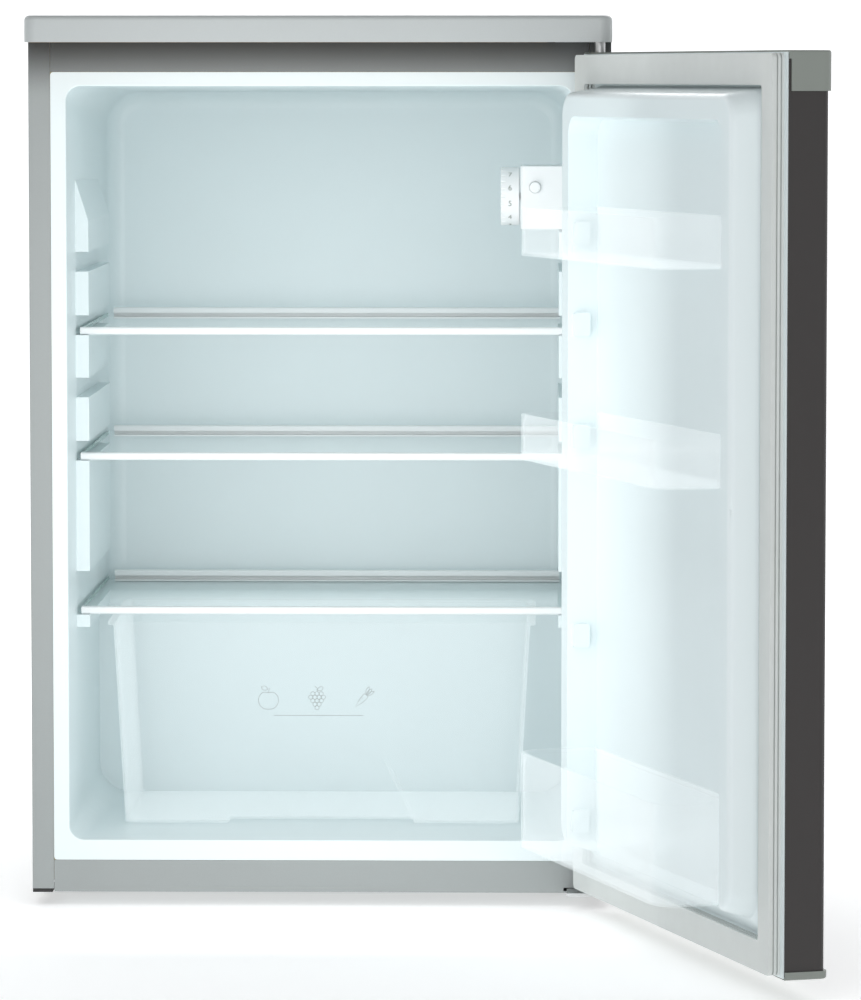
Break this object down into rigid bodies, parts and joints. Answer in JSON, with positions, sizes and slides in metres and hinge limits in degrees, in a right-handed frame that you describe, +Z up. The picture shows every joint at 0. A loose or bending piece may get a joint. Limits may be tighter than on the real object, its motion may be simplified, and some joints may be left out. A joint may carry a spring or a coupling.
{
  "type": "mini fridge",
  "caption": "Under-counter larder fridge with an open hinged door, door bins, glass shelves, a crisper drawer and a compressor unit behind.",
  "frame": {"origin": "on the floor, on the cabinet's centre plane, under the front plane that the door gasket seals on", "axes": "+X to the right seen from the front, +Y into the cabinet, +Z up"},
  "size_m": [0.7281, 1.0863, 0.845],
  "materials": {
    "worktop_laminate": "satin silver grey",
    "chipboard": "raw chipboard",
    "zinc_screw": "zinc plated",
    "grey_enamel": "satin enamel",
    "dark_enamel": "satin enamel, very dark brown grey",
    "black_enamel": "satin black",
    "zinc_sheet": "galvanised sheet",
    "aluminium_plate": "matt",
    "white_liner": "satin white",
    "white_plastic": "satin white",
    "grey_plastic": "satin grey",
    "black_plastic": "matt black",
    "clear_plastic": "clear polystyrene",
    "shelf_glass": "clear toughened glass, green edges",
    "clear_glass": "clear",
    "grey_rubber": "soft light grey",
    "black_rubber": "matt",
    "magnet_strip": "matt brown black",
    "insulation_foam": "cut foam",
    "copper_pipe": "drawn copper"
  },
  "bodies": {
    "cabinet": {"worktop_cover": "worktop_laminate", "worktop_board": "chipboard", "panel_screws": "zinc_screw", "left_side_panel": "grey_enamel", "right_side_panel": "grey_enamel", "top_front_rail": "grey_enamel", "top_panel": "zinc_sheet", "bottom_front_rail": "grey_enamel", "corner_blocks": "black_plastic", "base_plate": "zinc_sheet", "back_panel": "grey_enamel", "bay_lining": "zinc_sheet", "liner": "white_liner", "cabinet_foam": "insulation_foam", "rear_feet": "black_plastic", "top_hinge": "zinc_sheet", "bottom_hinge": "zinc_sheet", "hinge_screws": "zinc_screw", "evaporator": "aluminium_plate", "drain_tube": "white_plastic", "compressor_shell": "black_enamel", "compressor_motor": "zinc_sheet", "compressor_mounts": "black_rubber", "compressor_bolts": "zinc_screw", "starter_box": "black_plastic", "starter_relay": "black_plastic", "cord_gland": "black_rubber", "drip_tray": "black_plastic", "condenser": "black_enamel", "condenser_clips": "black_plastic", "refrigerant_pipes": "copper_pipe", "filter_drier": "copper_pipe", "control_housing": "white_plastic", "lamp_lens": "clear_plastic", "lamp_bulb": "clear_glass", "lamp_holder": "white_plastic", "thermostat_body": "white_plastic", "door_switch": "white_plastic"},
    "door": {"door_skin": "dark_enamel", "door_top_cap": "grey_plastic", "door_bottom_cap": "grey_plastic", "hinge_bushes": "white_plastic", "door_foam": "insulation_foam", "door_liner": "white_liner", "door_gasket": "grey_rubber", "gasket_magnets": "magnet_strip"},
    "upper_bin": {"upper_bin": "clear_plastic"},
    "middle_bin": {"middle_bin": "clear_plastic"},
    "bottle_bin": {"bottle_bin": "clear_plastic"},
    "top_shelf": {"top_shelf_glass": "shelf_glass", "top_shelf_trims": "white_plastic"},
    "middle_shelf": {"middle_shelf_glass": "shelf_glass", "middle_shelf_trims": "white_plastic"},
    "crisper_cover": {"crisper_cover_glass": "shelf_glass", "crisper_cover_trims": "white_plastic"},
    "crisper_drawer": {"crisper_drawer": "clear_plastic"},
    "thermostat_knob": {"thermostat_knob": "white_plastic"},
    "switch_button": {"switch_button": "white_plastic"},
    "front_foot_left": {"front_foot_left": "black_plastic"},
    "front_foot_right": {"front_foot_right": "black_plastic"}
  },
  "joints": [
    {"name": "door_hinge", "type": "hinge", "parent": "cabinet", "child": "door", "pos_m": [0.2635, -0.024, 0.42], "axis": [0, 0, 1], "range_deg": [-107.7, 15]},
    {"name": "upper_bin_lift", "type": "slide", "parent": "door", "child": "upper_bin", "axis": [0, 0, 1], "range_m": [0, 0.03]},
    {"name": "middle_bin_lift", "type": "slide", "parent": "door", "child": "middle_bin", "axis": [0, 0, 1], "range_m": [0, 0.03]},
    {"name": "bottle_bin_lift", "type": "slide", "parent": "door", "child": "bottle_bin", "axis": [0, 0, 1], "range_m": [0, 0.03]},
    {"name": "top_shelf_slide", "type": "slide", "parent": "cabinet", "child": "top_shelf", "axis": [0, -1, 0], "range_m": [0, 0.15]},
    {"name": "middle_shelf_slide", "type": "slide", "parent": "cabinet", "child": "middle_shelf", "axis": [0, -1, 0], "range_m": [0, 0.15]},
    {"name": "crisper_cover_slide", "type": "slide", "parent": "cabinet", "child": "crisper_cover", "axis": [0, -1, 0], "range_m": [0, 0.15]},
    {"name": "crisper_drawer_slide", "type": "slide", "parent": "cabinet", "child": "crisper_drawer", "axis": [0, -1, 0], "range_m": [0, 0.19]},
    {"name": "thermostat_turn", "type": "hinge", "parent": "cabinet", "child": "thermostat_knob", "pos_m": [0.179, 0.125, 0.673], "axis": [1, 0, 0], "range_deg": [-170, 68]},
    {"name": "switch_press", "type": "slide", "parent": "cabinet", "child": "switch_button", "axis": [0, 1, 0], "range_m": [0, 0.005], "stiffness_N_per_m": 150, "springref_m": -0.004},
    {"name": "foot_left_turn", "type": "hinge", "parent": "cabinet", "child": "front_foot_left", "pos_m": [-0.225, 0.112, 0], "axis": [0, 0, 1], "continuous": true},
    {"name": "foot_right_turn", "type": "hinge", "parent": "cabinet", "child": "front_foot_right", "pos_m": [0.225, 0.112, 0], "axis": [0, 0, 1], "continuous": true}
  ]
}
